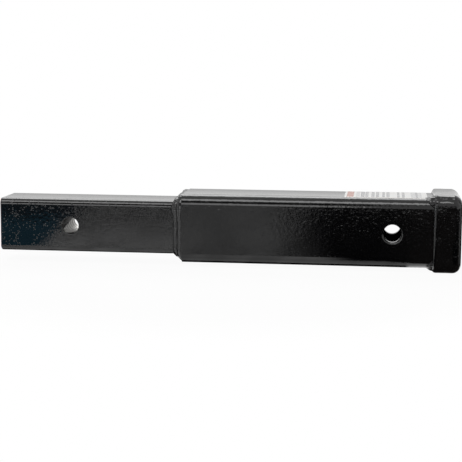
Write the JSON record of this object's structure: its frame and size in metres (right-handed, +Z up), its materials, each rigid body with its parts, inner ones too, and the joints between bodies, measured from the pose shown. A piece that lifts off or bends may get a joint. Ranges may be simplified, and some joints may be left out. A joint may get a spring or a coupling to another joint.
{
  "type": "hitch receiver extender",
  "caption": "Black painted steel extender: a square shank pins into a vehicle's receiver, and a larger receiver tube with a collared mouth takes the next shank.",
  "frame": {"origin": "centre of the shank's pin bore, on the long axis of the tubes", "axes": "+X along the tubes towards the receiver's open mouth, +Y along the pin bores, +Z up, towards the face with the sticker"},
  "size_m": [0.4387, 0.0728, 0.0728],
  "materials": {
    "black_paint": "gloss black paint on steel, slight orange peel",
    "bare_steel": "unpainted turned steel",
    "sticker_paper": "satin printed sticker"
  },
  "bodies": {
    "root": {"shank_tube": "black_paint", "pin_sleeve": "bare_steel", "receiver_tube": "black_paint", "mouth_collar": "black_paint", "mouth_weld": "black_paint", "shank_weld": "black_paint", "collar_weld_upper_front": "black_paint", "collar_weld_upper_rear": "black_paint", "collar_weld_lower_front": "black_paint", "collar_weld_lower_rear": "black_paint", "sticker": "sticker_paper"}
  },
  "joints": []
}
